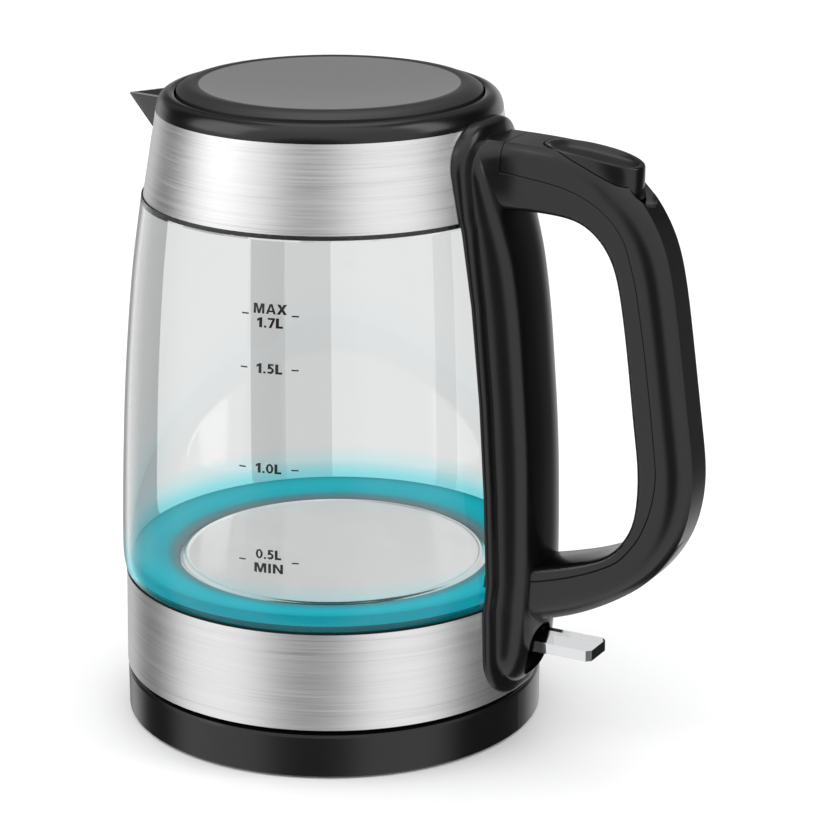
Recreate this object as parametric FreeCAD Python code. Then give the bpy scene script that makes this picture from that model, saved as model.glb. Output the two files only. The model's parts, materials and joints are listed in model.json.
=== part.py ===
import FreeCAD, Part
import math
import os

# Cordless glass kettle on a round power base. Millimetres, +Z up, +X towards the handle.
# The origin is on the kettle's axis in the plane that the base's feet stand on.

V = FreeCAD.Vector
X_DIR = V(1, 0, 0)
Y_DIR = V(0, 1, 0)
Z_DIR = V(0, 0, 1)
CENTRE = V(0, 0, 0)

# ---- driving dimensions -------------------------------------------------------------------
FOOT_H = 1.4                # rubber feet below the base's bottom plate
BASE_R = 74.0               # power base
BASE_TOP = 16.4
BASE_FLOOR = 13.4           # sunk floor of the base's top, round the socket
SOCKET_R = 16.0
SOCKET_TOP = 28.0
KETTLE_BOTTOM = 16.8        # underside of the kettle, 0.4 above the base
BAND_BOTTOM = 17.9
BAND_TOP = 52.35
BAND_BOTTOM_R = 74.2
BAND_TOP_R = 73.6
STEEL = 0.8                 # sheet thickness of band and collar
PLATE_R = 55.2              # heating plate
PLATE_TOP = 56.0
GLASS_BOTTOM = 53.1
GLASS_TOP = 185.2
GLASS_WALL = 2.2
COLLAR_BOTTOM = 187.3
COLLAR_TOP = 216.5
COLLAR_BOTTOM_R = 64.3
COLLAR_TOP_R = 59.3
RIM_INNER_R = 53.0          # mouth of the black rim, round the lid
RIM_WALL_R = 53.8           # wall of the lid's well below the rim's lip
SEAT_TOP = 214.0            # ring that the lid's seal sits over
MOUTH_R = 42.4              # filling opening
LID_R = 52.2
LID_EDGE_Z = 223.0
RIDGE_R = 46.5
RIDGE_Z = 225.2
DISH_Z = 222.2              # lowest point of the lid's dished top
LID_HINGE_X = 46.5
LID_HINGE_Z = 222.2
LID_PIN_R = 0.75
SPOUT_TIP_X = -81.2
SPOUT_TIP_Z = 213.5
SPOUT_WALL = 1.3
SPINE_HALF_W = 21.3         # flange of the strip that carries the handle
SPINE_BODY_HALF_W = 17.2
SPINE_BOTTOM = 18.4
SPINE_TOP = 219.0
HANDLE_HALF_W = 10.8
HANDLE_WALL = 2.2
BUTTON_X0 = 80.4            # lid release button on top of the handle
BUTTON_X1 = 118.4
BUTTON_HALF_W = 9.3
BUTTON_PIVOT_X = 83.0
BUTTON_PIVOT_Z = 208.0
LEVER_PIVOT_X = 70.0        # switch lever
LEVER_Z = 37.1
LEVER_TIP_X = 104.5
LEVER_HALF_W = 7.0
LEVER_T = 3.9
RUN_FIT = 0.05              # radial clearance of a pin in what turns on it
SCREW_R = 1.3
SCREW_HEAD_R = 3.0
PIN_SHANK = 1.0             # radius of the button's and the lever's pins

# Outer line of the glass, (radius, height).
GLASS_LINE = [(73.9, GLASS_BOTTOM), (74.7, 62), (73.7, 94), (71.9, 126), (68.9, 159), (65.2, GLASS_TOP)]

# Back of the strip's raised body in the mirror plane, (x, z).
SPINE_BACK = [(79.5, 17.0), (81.0, 26.0), (82.8, 40.0), (84.5, 62.0), (84.6, 88.0), (84.0, 110.0),
              (82.5, 132.0), (80.6, 154.0), (78.8, 172.0), (75.8, 190.0), (70.0, 206.0), (63.8, 220.5)]

# Handle sections from the top arm round to the bottom arm: outer and inner point of each.
HANDLE_SECTIONS = [
    ((66.0, 213.9), (66.0, 190.5)), ((80.0, 213.2), (80.0, 191.0)), ((92.0, 212.3), (92.5, 190.9)),
    ((104.0, 210.0), (99.5, 188.7)), ((113.5, 203.8), (104.5, 185.4)), ((121.0, 196.0), (108.0, 181.5)),
    ((127.5, 184.5), (111.0, 176.0)), ((131.2, 170.0), (113.5, 167.0)), ((134.5, 148.0), (116.6, 147.0)),
    ((137.8, 124.0), (119.4, 123.0)), ((140.0, 108.0), (121.4, 108.0)), ((138.5, 95.0), (121.0, 94.0)),
    ((134.0, 83.0), (118.6, 85.0)), ((124.7, 70.5), (112.5, 76.0)), ((113.7, 62.0), (104.5, 71.0)),
    ((102.4, 55.0), (96.0, 67.2)), ((91.7, 50.0), (88.0, 64.3)), ((79.0, 45.5), (77.0, 61.2)),
]

# Seam between the handle's frame, on the finger side, and its cover, (x, z).
HANDLE_SEAM = [(69.5, 204.0), (80.0, 202.6), (90.0, 201.4), (98.0, 199.3), (105.0, 196.0), (111.0, 191.4),
               (115.5, 185.5), (119.7, 171.5), (123.4, 150.3), (126.6, 126.5), (128.9, 106.0),
               (126.5, 90.0), (118.5, 76.5), (108.0, 67.0), (96.0, 60.0), (84.0, 55.0)]

os.makedirs("parts", exist_ok=True)


# ---- helpers ------------------------------------------------------------------------------
def save(shape, node):
    shape.exportStep("parts/" + node + ".step")


def polygon(points):
    wire = Part.makePolygon(points + [points[0]])
    return Part.Face(wire)


def revolved(outline, angle=360.0, start=0.0):
    """A (radius, height) outline turned about Z."""
    face = polygon([V(r, 0, z) for r, z in outline])
    solid = face.revolve(CENTRE, Z_DIR, angle)
    solid.rotate(CENTRE, Z_DIR, start)
    return solid


def spline_edge(points):
    curve = Part.BSplineCurve()
    curve.interpolate(points)
    return curve.toShape()


def revolved_edges(edges):
    face = Part.Face(Part.Wire(edges))
    return face.revolve(CENTRE, Z_DIR, 360.0)


def line(a, b):
    return Part.LineSegment(a, b).toShape()


def disc(radius, z0, z1, x=0.0, y=0.0):
    return Part.makeCylinder(radius, z1 - z0, V(x, y, z0), Z_DIR)


def ring(inner, outer, z0, z1):
    return disc(outer, z0, z1).cut(disc(inner, z0 - 1, z1 + 1))


def box(x0, x1, y0, y1, z0, z1):
    return Part.makeBox(x1 - x0, y1 - y0, z1 - z0, V(x0, y0, z0))


def rod_y(radius, half_length, x, z):
    return Part.makeCylinder(radius, 2 * half_length, V(x, -half_length, z), Y_DIR)


def prism_y(outline, half_width):
    """An (x, z) outline made solid from -half_width to +half_width."""
    face = polygon([V(x, -half_width, z) for x, z in outline])
    return face.extrude(V(0, 2 * half_width, 0))


def fused(shapes):
    return shapes[0].multiFuse(shapes[1:]).removeSplitter()


def polar(radius, degrees):
    angle = math.radians(degrees)
    return radius * math.cos(angle), radius * math.sin(angle)


def at_height(line_points, z):
    """The first value of a (value, height) line at height z, between its two nearest points."""
    for (a, za), (b, zb) in zip(line_points, line_points[1:]):
        if za <= z <= zb:
            return a + (b - a) * (z - za) / (zb - za)
    return line_points[0][0] if z < line_points[0][1] else line_points[-1][0]


def screw(z_head, length, x, y):
    head = disc(SCREW_HEAD_R, z_head, z_head + 1.4, x, y)
    shank = disc(SCREW_R, z_head + 1.4, z_head + length, x, y)
    return head.fuse(shank)


def coil(radius, wire_r, turns, length):
    """A round-wire helix along +Z from the origin."""
    helix = Part.makeHelix(length / turns, length, radius)
    section = Part.Wire([Part.Circle(V(radius, 0, 0), Y_DIR, wire_r).toShape()])
    return Part.Wire(helix).makePipeShell([section], True, True)


def tube(points, outer, inner):
    """A bent tube: straight runs with ball joints at the corners."""
    def run(radius, spheres):
        pieces = []
        for a, b in zip(points, points[1:]):
            pieces.append(Part.makeCylinder(radius, (b - a).Length, a, b - a))
        for p in spheres:
            pieces.append(Part.makeSphere(radius, p))
        return fused(pieces)
    return run(outer, points[1:-1]).cut(run(inner, points[1:-1]))


# ---- the kettle's outer surface, used to seat the strip on it ------------------------------
BODY_LINE = ([(BAND_BOTTOM_R, BAND_BOTTOM), (BAND_TOP_R, BAND_TOP)] + GLASS_LINE
             + [(65.0, COLLAR_BOTTOM - 0.05), (COLLAR_BOTTOM_R, COLLAR_BOTTOM),
                (COLLAR_TOP_R, COLLAR_TOP), (COLLAR_TOP_R, 222.0)])


def make_body_core():
    """The filled outer shape of band, glass, seals, collar and rim."""
    below = [(0.1, GLASS_BOTTOM), (0.1, 15.0), (BAND_BOTTOM_R, 15.0), (BAND_BOTTOM_R, BAND_BOTTOM),
             (74.0, BAND_TOP), GLASS_LINE[0]]
    above = [GLASS_LINE[-1], (65.2, COLLAR_BOTTOM), (COLLAR_BOTTOM_R, COLLAR_BOTTOM),
             (COLLAR_TOP_R + 0.05, COLLAR_TOP), (COLLAR_TOP_R + 0.05, 226.0), (0.1, 226.0), (0.1, GLASS_BOTTOM)]
    edges = [line(V(a[0], 0, a[1]), V(b[0], 0, b[1])) for a, b in zip(below, below[1:])]
    edges.append(spline_edge([V(r, 0, z) for r, z in GLASS_LINE]))
    edges += [line(V(a[0], 0, a[1]), V(b[0], 0, b[1])) for a, b in zip(above, above[1:])]
    return revolved_edges(edges)


body_core = make_body_core()


# ---- power base ---------------------------------------------------------------------------
BASE_SCREW_ANGLES = (30, 150, 270)
BASE_SCREW_RADIUS = 50.0
OUTLET_Z = 8.6
OUTLET_BORE_R = 3.6
OUTLET_R = 5.0
OUTLET_INNER_Y = 64.0
OUTLET_END_Y = 75.2


def base_screw_places():
    return [polar(BASE_SCREW_RADIUS, a) for a in BASE_SCREW_ANGLES]


def make_base_cover():
    wall_top = BASE_TOP - 1.5
    shell = revolved([
        (BASE_R, 1.0), (BASE_R, wall_top), (73.6, 15.9), (72.5, BASE_TOP), (64.0, BASE_TOP),
        (62.0, BASE_FLOOR), (18.8, BASE_FLOOR), (18.8, 11.4), (61.2, 11.4), (63.0, 14.2),
        (71.4, 14.2), (71.4, 1.0),
    ])
    bosses = [disc(3.6, 3.4, 11.4, x, y) for x, y in base_screw_places()]
    cover = fused([shell] + bosses)
    for x, y in base_screw_places():
        cover = cover.cut(disc(SCREW_R, 3.0, 10.4, x, y))
    outlet_hole = Part.makeCylinder(OUTLET_R, 20.0, V(0, 60, OUTLET_Z), Y_DIR)
    return cover.cut(outlet_hole)


def make_base_plate():
    plate = disc(71.2, FOOT_H, 3.4)
    for x, y in base_screw_places():
        plate = plate.cut(disc(SCREW_HEAD_R + 0.1, FOOT_H - 1, 3.0, x, y))
        plate = plate.cut(disc(SCREW_R + 0.1, 2.0, 4.0, x, y))
    return plate


def make_base_feet():
    pads = [disc(6.0, 0, FOOT_H)]
    for angle in (45, 135, 225, 315):
        x, y = polar(58.0, angle)
        pads.append(disc(6.0, 0, FOOT_H, x, y))
    return Part.makeCompound(pads)


def make_base_screws():
    return Part.makeCompound([screw(1.6, 8.4, x, y) for x, y in base_screw_places()])


SLOTS = ((6.0, 8.4), (11.0, 13.4))      # inner and outer radius of the socket's ring slots
SLOT_FLOOR = 14.0


def make_socket_contacts():
    centre = disc(2.6, 12.0, 13.2).fuse(box(-0.5, 0.5, -2, 2, 3.6, 12.0))
    contacts = [centre]
    for (inner, outer), angle in zip(SLOTS, (120, 240)):
        outline = [(inner, SLOT_FLOOR), (outer, SLOT_FLOOR), (outer, 15.4), (inner, 15.4)]
        arc = revolved(outline, 40.0, angle - 20.0)
        middle = (inner + outer) / 2
        blade = box(middle - 0.5, middle + 0.5, -2, 2, 3.6, 14.5)
        blade.rotate(CENTRE, Z_DIR, angle)
        contacts.append(arc.fuse(blade))
    return Part.makeCompound(contacts)


def make_base_socket(contacts):
    socket = revolved([
        (0.001, 4.0), (SOCKET_R, 4.0), (SOCKET_R, 9.2), (21.5, 9.2), (21.5, 11.4), (18.6, 11.4),
        (18.6, BASE_FLOOR), (SOCKET_R, BASE_FLOOR), (SOCKET_R, 27.0), (15.0, SOCKET_TOP),
        (0.001, SOCKET_TOP),
    ])
    socket = socket.cut(disc(2.6, 12.0, SOCKET_TOP + 1))
    for inner, outer in SLOTS:
        socket = socket.cut(ring(inner, outer, SLOT_FLOOR, SOCKET_TOP + 1))
    for contact in contacts.Solids:
        socket = socket.cut(contact)
    return socket


def make_cord_outlet():
    length = OUTLET_END_Y - OUTLET_INNER_Y
    sleeve = Part.makeCylinder(OUTLET_R, length, V(0, OUTLET_INNER_Y, OUTLET_Z), Y_DIR)
    return sleeve.cut(Part.makeCylinder(OUTLET_BORE_R, length + 2, V(0, OUTLET_INNER_Y - 1, OUTLET_Z), Y_DIR))


def make_socket_shutter():
    return ring(SOCKET_R + 0.5, 20.2, BASE_FLOOR + 0.4, BASE_TOP)


contacts = make_socket_contacts()
save(make_base_cover(), "base_cover")
save(make_base_plate(), "base_plate")
save(make_base_feet(), "base_feet")
save(make_base_screws(), "base_screws")
save(contacts, "socket_contacts")
save(make_base_socket(contacts), "base_socket")
save(make_cord_outlet(), "cord_outlet")
save(make_socket_shutter(), "socket_shutter")

# ---- kettle bottom: skirt, connector, heater and light --------------------------------------
HOUSING_SCREW_ANGLES = (60, 180, 300)
HOUSING_SCREW_RADIUS = 63.0
SKIRT_R = 72.7
SKIRT_WALL = 2.0
CUP_R = 22.0                # recess under the kettle for the base's socket
CUP_TOP = 30.0
LED_COUNT = 12


def housing_screw_places():
    return [polar(HOUSING_SCREW_RADIUS, a) for a in HOUSING_SCREW_ANGLES]


lever_window = box(60, 90, -(LEVER_HALF_W + 0.8), LEVER_HALF_W + 0.8, 27.0, 42.0)
lever_pin_bore = rod_y(PIN_SHANK, 12.0, LEVER_PIVOT_X, LEVER_Z)


def make_kettle_skirt():
    inner = SKIRT_R - SKIRT_WALL
    shell = revolved([
        (72.2, KETTLE_BOTTOM), (72.2, BAND_BOTTOM), (SKIRT_R, BAND_BOTTOM), (SKIRT_R, 51.5), (inner, 51.5),
        (inner, 19.0), (CUP_R + 2, 19.0), (CUP_R + 2, CUP_TOP), (CUP_R, CUP_TOP), (CUP_R, KETTLE_BOTTOM),
    ])
    shell = shell.cut(lever_window)
    ears = [box(66.4, 71.4, 8.2, 10.6, 33.4, 40.8), box(66.4, 71.4, -10.6, -8.2, 33.4, 40.8)]
    skirt = fused([shell] + ears)
    for x, y in housing_screw_places():
        skirt = skirt.cut(disc(SCREW_HEAD_R + 0.1, KETTLE_BOTTOM - 1, 18.4, x, y))
        skirt = skirt.cut(disc(SCREW_R + 0.1, 18.0, 20.0, x, y))
    return skirt.cut(lever_pin_bore)


def make_skirt_screws():
    return Part.makeCompound([screw(17.0, 18.0, x, y) for x, y in housing_screw_places()])


def make_kettle_connector():
    body = disc(CUP_R + 2, CUP_TOP, 36.0)
    pins = [disc(2.0, 17.0, CUP_TOP), ring(6.7, 7.7, 17.0, CUP_TOP), ring(11.7, 12.7, 17.0, CUP_TOP)]
    return fused([body] + pins)


def make_thermostat():
    body = disc(20.0, 36.0, 46.0)
    snap_discs = [disc(6.0, 46.0, 53.4, x, 0) for x in (-10, 10)]
    return fused([body] + snap_discs)


def make_lower_band():
    band = revolved([
        (BAND_BOTTOM_R, BAND_BOTTOM), (BAND_TOP_R, BAND_TOP), (71.0, BAND_TOP), (71.0, 51.55),
        (BAND_TOP_R - STEEL, 51.55), (BAND_BOTTOM_R - STEEL, BAND_BOTTOM),
    ])
    return band.cut(lever_window)


def make_lower_seal():
    return revolved([(73.8, BAND_TOP), (73.8, GLASS_BOTTOM), (71.6, GLASS_BOTTOM), (71.6, 55.0),
                     (71.0, 55.0), (71.0, BAND_TOP)])


def make_led_housing():
    housing = revolved([
        (70.5, 42.4), (70.5, 52.9), (69.4, 52.9), (69.4, 43.6), (57.0, 43.6), (57.0, 52.9),
        (55.6, 52.9), (55.6, 42.4),
    ])
    legs = [disc(3.6, 19.0, 42.4, x, y) for x, y in housing_screw_places()]
    housing = fused([housing] + legs)
    for x, y in housing_screw_places():
        housing = housing.cut(disc(SCREW_R, 18.0, 35.0, x, y))
    return housing


def make_led_chips():
    chips = []
    for i in range(LED_COUNT):
        chip = box(60.5, 65.5, -2.5, 2.5, 45.2, 46.8)
        chip.rotate(CENTRE, Z_DIR, i * 360.0 / LED_COUNT)
        chips.append(chip)
    return Part.makeCompound(chips)


def make_light_ring():
    return revolved([(55.4, 53.0), (55.4, 56.2), (71.7, 58.6), (71.7, 55.1), (70.9, 55.1), (70.9, 53.0)])


def make_heating_plate():
    return revolved([(0.001, PLATE_TOP - 0.8), (PLATE_R - 0.8, PLATE_TOP - 0.8), (PLATE_R - 0.8, 48.0),
                     (PLATE_R, 48.0), (PLATE_R, PLATE_TOP - 0.3), (PLATE_R - 0.4, PLATE_TOP),
                     (0.001, PLATE_TOP)])


def make_heating_element():
    loop = Part.makeTorus(36.0, 4.0, V(0, 0, 49.4), Z_DIR, 0, 360, 310)
    loop.rotate(CENTRE, Z_DIR, 25.0)
    ends = []
    for angle in (25.0, 335.0):
        x, y = polar(36.0, angle)
        ends.append(disc(2.0, 38.0, 49.4, x, y))
    return fused([loop] + ends)


save(make_kettle_skirt(), "kettle_skirt")
save(make_skirt_screws(), "skirt_screws")
save(make_kettle_connector(), "kettle_connector")
save(make_thermostat(), "thermostat_control")
save(make_lower_band(), "lower_band")
save(make_lower_seal(), "lower_glass_seal")
save(make_led_housing(), "led_housing")
save(ring(58.0, 68.0, 43.6, 45.2), "led_board")
save(make_led_chips(), "led_chips")
save(make_light_ring(), "light_ring")
save(make_heating_plate(), "heating_plate")
save(disc(52.0, 53.4, PLATE_TOP - 0.8), "heat_spreader")
save(make_heating_element(), "heating_element")


# ---- glass jug and its seals ---------------------------------------------------------------
def make_glass():
    outer = [V(r, 0, z) for r, z in GLASS_LINE]
    inner = [V(r - GLASS_WALL, 0, z) for r, z in GLASS_LINE]
    return revolved_edges([
        spline_edge(outer), line(outer[-1], inner[-1]), spline_edge(inner[::-1]), line(inner[0], outer[0]),
    ])


def make_upper_seal():
    return revolved([(65.0, GLASS_TOP), (65.0, COLLAR_BOTTOM), (61.4, COLLAR_BOTTOM), (61.4, 182.0),
                     (62.6, 182.0), (62.6, GLASS_TOP)])


save(make_glass(), "glass_body")
save(make_upper_seal(), "upper_glass_seal")


# ---- spout ----------------------------------------------------------------------------------
SPOUT_ROOT_X = -54.0


def spout_keel_z(x):
    """Height of the keel: a straight line from the collar up to the tip."""
    return 191.5 + (x + 62.3) * (212.6 - 191.5) / (SPOUT_TIP_X + 62.3)


def spout_edge_z(x):
    """Height of the spout's top edges: they fall gently from the rim to the tip."""
    return SPOUT_TIP_Z + 2.9 * (SPOUT_TIP_X - x) / (SPOUT_TIP_X + 59.0)


def spout_half_width(x):
    return 0.7 + 13.8 * (SPOUT_TIP_X - x) / (SPOUT_TIP_X + 59.0)


def spout_section(x, inset):
    """A V with a rounded keel, standing across the spout at x."""
    top = spout_edge_z(x) + (2.0 if inset else 0.0)
    keel = min(spout_keel_z(x) + 1.5 * inset, top - 0.5)
    half = max(spout_half_width(x) - inset, 0.15)
    low = keel + 0.12 * (top - keel)
    near = 0.22 * half
    left = V(x, half, top)
    right = V(x, -half, top)
    keel_arc = Part.Arc(V(x, near, low), V(x, 0, keel), V(x, -near, low)).toShape()
    return Part.Wire([line(left, V(x, near, low)), keel_arc, line(V(x, -near, low), right), line(right, left)])


def make_spout_solids():
    outer_x = (SPOUT_ROOT_X, -66.0, -75.0, SPOUT_TIP_X)
    outer = Part.makeLoft([spout_section(x, 0.0) for x in outer_x], True, True)
    inner_x = (SPOUT_ROOT_X + 2.0, -66.0, -75.0, SPOUT_TIP_X + 0.8)
    inner = Part.makeLoft([spout_section(x, SPOUT_WALL) for x in inner_x], True, True)
    below_rim = box(-90, -40, -30, 30, 150, COLLAR_TOP - 0.1)
    return outer.common(below_rim), inner


spout_outer, spout_inner = make_spout_solids()
neck_hollow = revolved([(0.1, 180.0), (61.9, 180.0), (61.3, COLLAR_BOTTOM), (57.0, 212.0), (57.0, 220.0),
                        (0.1, 220.0)])
save(spout_outer.cut(spout_inner).cut(neck_hollow), "spout")


# ---- latch path, shared by the neck, the strip and the handle --------------------------------
LATCH_HALF_W = 3.0
LATCH_NOSE_X = 53.2
LATCH_NOSE_Z = (214.5, 216.0)
LATCH_DROP_X = (62.2, 64.0)
LATCH_ROD_Z = (201.4, 203.4)
LATCH_END_X = 101.5


def latch_outline(grow):
    return [
        (LATCH_NOSE_X - 3 * grow, LATCH_NOSE_Z[0] - grow), (LATCH_DROP_X[0] - grow, LATCH_NOSE_Z[0] - grow),
        (LATCH_DROP_X[0] - grow, LATCH_ROD_Z[0] - grow), (LATCH_END_X + 6 * grow, LATCH_ROD_Z[0] - grow),
        (LATCH_END_X + 6 * grow, LATCH_ROD_Z[1] + grow), (LATCH_DROP_X[1] + 5 * grow, LATCH_ROD_Z[1] + grow),
        (LATCH_DROP_X[1] + 5 * grow, LATCH_NOSE_Z[1] + grow), (LATCH_NOSE_X - 3 * grow, LATCH_NOSE_Z[1] + grow),
    ]


latch_path = prism_y(latch_outline(0.4), LATCH_HALF_W + 0.5)


# ---- collar, rim and neck ---------------------------------------------------------------------
STEAM_Y = 9.0
STEAM_PORT_Z = 198.0
steam_port = Part.makeCylinder(2.6, 20.0, V(50, STEAM_Y, STEAM_PORT_Z), X_DIR)


def make_collar():
    collar = revolved([(COLLAR_BOTTOM_R, COLLAR_BOTTOM), (COLLAR_TOP_R, COLLAR_TOP),
                       (COLLAR_TOP_R - STEEL, COLLAR_TOP), (COLLAR_BOTTOM_R - STEEL, COLLAR_BOTTOM)])
    return collar.cut(spout_outer).cut(latch_path).cut(steam_port)


def make_top_rim():
    crest = spline_edge([V(COLLAR_TOP_R, 0, COLLAR_TOP), V(58.7, 0, 219.4), V(56.8, 0, 221.9),
                         V(54.8, 0, 222.6), V(RIM_INNER_R, 0, 222.2)])
    lip = [(RIM_INNER_R, 222.2), (RIM_INNER_R, 221.5), (RIM_WALL_R, 221.0), (RIM_WALL_R, COLLAR_TOP),
           (COLLAR_TOP_R, COLLAR_TOP)]
    edges = [line(V(a[0], 0, a[1]), V(b[0], 0, b[1])) for a, b in zip(lip, lip[1:])]
    return revolved_edges([crest] + edges)


POST_HALF_T = 1.1
POST_Y = (5.0, 7.5)


def make_neck_liner():
    liner = revolved([(63.3, COLLAR_BOTTOM), (58.4, COLLAR_TOP), (RIM_WALL_R, COLLAR_TOP),
                      (RIM_WALL_R, 212.0), (57.0, 212.0), (61.3, COLLAR_BOTTOM)])
    return liner.cut(spout_outer).cut(latch_path).cut(steam_port)


def make_lid_seat():
    seat = revolved([(RIM_WALL_R, 212.0), (RIM_WALL_R, SEAT_TOP), (MOUTH_R, SEAT_TOP), (MOUTH_R, 209.6),
                     (44.2, 209.6), (44.2, 212.0)])
    posts = []
    for side in (-1, 1):
        y0, y1 = sorted((side * POST_Y[0], side * POST_Y[1]))
        leg = box(LID_HINGE_X - POST_HALF_T, LID_HINGE_X + POST_HALF_T, y0, y1, SEAT_TOP, LID_HINGE_Z)
        eye = Part.makeCylinder(POST_HALF_T, y1 - y0, V(LID_HINGE_X, y0, LID_HINGE_Z), Y_DIR)
        posts += [leg, eye]
    seat = fused([seat] + posts)
    return seat.cut(rod_y(LID_PIN_R, 12.0, LID_HINGE_X, LID_HINGE_Z))


def sector(inner, outer, z0, z1, half_angle):
    outline = [(inner, z0), (outer, z0), (outer, z1), (inner, z1)]
    return revolved(outline, 2 * half_angle, 180.0 - half_angle)


FILTER_WINDOW_ANGLE = 14.0
FILTER_WINDOW_Z = (191.0, 209.0)


def make_spout_filter():
    frame = sector(54.6, 56.2, 188.5, 212.0, 17.0)
    return frame.cut(sector(50.0, 60.0, FILTER_WINDOW_Z[0], FILTER_WINDOW_Z[1], FILTER_WINDOW_ANGLE))


save(make_collar(), "top_collar")
save(make_top_rim(), "top_rim")
save(make_neck_liner(), "neck_liner")
save(make_lid_seat(), "lid_seat")
save(make_spout_filter(), "spout_filter")
save(sector(55.2, 55.6, FILTER_WINDOW_Z[0], FILTER_WINDOW_Z[1], FILTER_WINDOW_ANGLE), "filter_mesh")
save(rod_y(LID_PIN_R, 8.2, LID_HINGE_X, LID_HINGE_Z), "lid_hinge_pin")

# ---- lid ----------------------------------------------------------------------------------------
KNUCKLE_Y = (2.6, 4.7)
KNUCKLE_R = 2.0


def make_lid_top():
    dish = [V(r, 0, DISH_Z + (RIDGE_Z - DISH_Z) * (r / RIDGE_R) ** 2) for r in (0, 12, 24, 36, 44)]
    dish[0] = V(0, 0, DISH_Z)
    top = spline_edge(dish + [V(RIDGE_R, 0, RIDGE_Z), V(49.6, 0, 224.6), V(LID_R, 0, LID_EDGE_Z)])
    rest = [(LID_R, LID_EDGE_Z), (LID_R, 219.5), (50.8, 219.5), (50.8, 221.8), (RIDGE_R, 223.9),
            (43.0, 222.8), (30.0, 221.3), (0.0, 220.2), (0.0, DISH_Z)]
    edges = [line(V(a[0], 0, a[1]), V(b[0], 0, b[1])) for a, b in zip(rest, rest[1:])]
    skin = revolved_edges([top] + edges)
    skin = skin.cut(box(46.0, 60.0, -9.0, 9.0, 210.0, 221.75))
    skin = skin.cut(rod_y(POST_HALF_T + 0.35, POST_Y[1] + 0.4, LID_HINGE_X, LID_HINGE_Z))
    knuckles = []
    for side in (-1, 1):
        y0, y1 = sorted((side * KNUCKLE_Y[0], side * KNUCKLE_Y[1]))
        knuckles.append(Part.makeCylinder(KNUCKLE_R, y1 - y0, V(LID_HINGE_X, y0, LID_HINGE_Z), Y_DIR))
        knuckles.append(box(LID_HINGE_X - 1.6, LID_HINGE_X + 1.6, y0, y1, LID_HINGE_Z, 224.1))
    lid = fused([skin] + knuckles)
    return lid.cut(rod_y(LID_PIN_R + RUN_FIT, 12.0, LID_HINGE_X, LID_HINGE_Z))


def make_lid_inner():
    return revolved([(0.001, 210.5), (41.0, 210.5), (41.0, 216.0), (43.8, 216.0), (43.8, 222.5),
                     (42.2, 222.3), (42.2, 217.8), (39.2, 217.8), (39.2, 212.3), (0.001, 212.3)])


def make_lid_spring():
    spring = coil(1.2, 0.3, 5, 4.0)
    spring.rotate(CENTRE, X_DIR, -90)
    spring.translate(V(LID_HINGE_X, -2.0, LID_HINGE_Z))
    return spring


save(make_lid_top(), "lid_top")
save(make_lid_inner(), "lid_inner")
save(ring(41.0, 43.9, 214.4, 215.9), "lid_seal")
save(make_lid_spring(), "lid_spring")

# ---- the strip behind the handle -----------------------------------------------------------------
SPINE_LEVELS = (16.0, 26.0, 40.0, 62.0, 88.0, 110.0, 132.0, 154.0, 172.0, 190.0, 206.0, 221.0)
SPINE_CORNER_R = 16.0
SPINE_SHELL = 2.0


def spine_section(z, inset):
    """Flat back, thin flange at both sides and a rounded body between them, at height z."""
    root = at_height(BODY_LINE, z)
    back = at_height(SPINE_BACK, z) - inset
    half = SPINE_BODY_HALF_W - inset
    deep = root - 7.0
    depth = back - root
    bulge = [(root, half), (root + 0.42 * depth, half - 0.9), (root + 0.78 * depth, half - 3.6),
             (root + 0.95 * depth, half - 8.4), (back, 0.0)]
    points = [V(x, y, z) for x, y in bulge]
    points += [V(x, -y, z) for x, y in reversed(bulge[:-1])]
    edges = []
    if inset:
        edges += [line(V(deep, -half, z), V(deep, half, z)), line(V(deep, half, z), points[0])]
        edges += [spline_edge(points), line(points[-1], V(deep, -half, z))]
        return Part.Wire(edges)
    flange = math.sqrt(root ** 2 - SPINE_HALF_W ** 2) + 1.6
    wide = SPINE_HALF_W
    corners = [points[-1], V(flange, -wide, z), V(deep, -wide, z), V(deep, wide, z), V(flange, wide, z), points[0]]
    edges += [line(a, b) for a, b in zip(corners, corners[1:])]
    return Part.Wire(edges + [spline_edge(points)])


def spine_outline():
    """Front view of the strip: long sides and rounded ends, as a prism along X."""
    block = box(40, 110, -SPINE_HALF_W, SPINE_HALF_W, SPINE_BOTTOM, SPINE_TOP)
    corners = []
    for edge in block.Edges:
        middle = edge.CenterOfMass
        along_x = abs(edge.tangentAt(edge.FirstParameter).x) > 0.9
        if along_x and abs(middle.y) > 1:
            corners.append(edge)
    return block.makeFillet(SPINE_CORNER_R, corners)


spine_solid = Part.makeLoft([spine_section(z, 0.0) for z in SPINE_LEVELS], True, False)
spine_solid = spine_solid.common(spine_outline()).cut(body_core)


def make_spine_cover():
    hollow_levels = (24.0,) + SPINE_LEVELS[2:-2] + (208.0,)
    hollow = Part.makeLoft([spine_section(z, SPINE_SHELL) for z in hollow_levels], True, False)
    lever_slot = box(74, 90, -9.6, 9.6, 24.5, 42.5)
    return spine_solid.cut(hollow).cut(lever_slot).cut(latch_path).cut(steam_port)


STEAM_ROUTE = [(58.0, STEAM_PORT_Z), (67.8, STEAM_PORT_Z), (68.2, 188.0), (73.2, 150.0), (76.3, 110.0),
               (77.9, 72.0), (77.9, 46.0)]


def make_steam_tube():
    return tube([V(x, STEAM_Y, z) for x, z in STEAM_ROUTE], 2.5, 1.8)


save(make_spine_cover(), "spine_cover")
save(make_steam_tube(), "steam_tube")
save(box(75.4, 81.0, -8.0, 4.0, 46.0, 58.0), "steam_switch")


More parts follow.
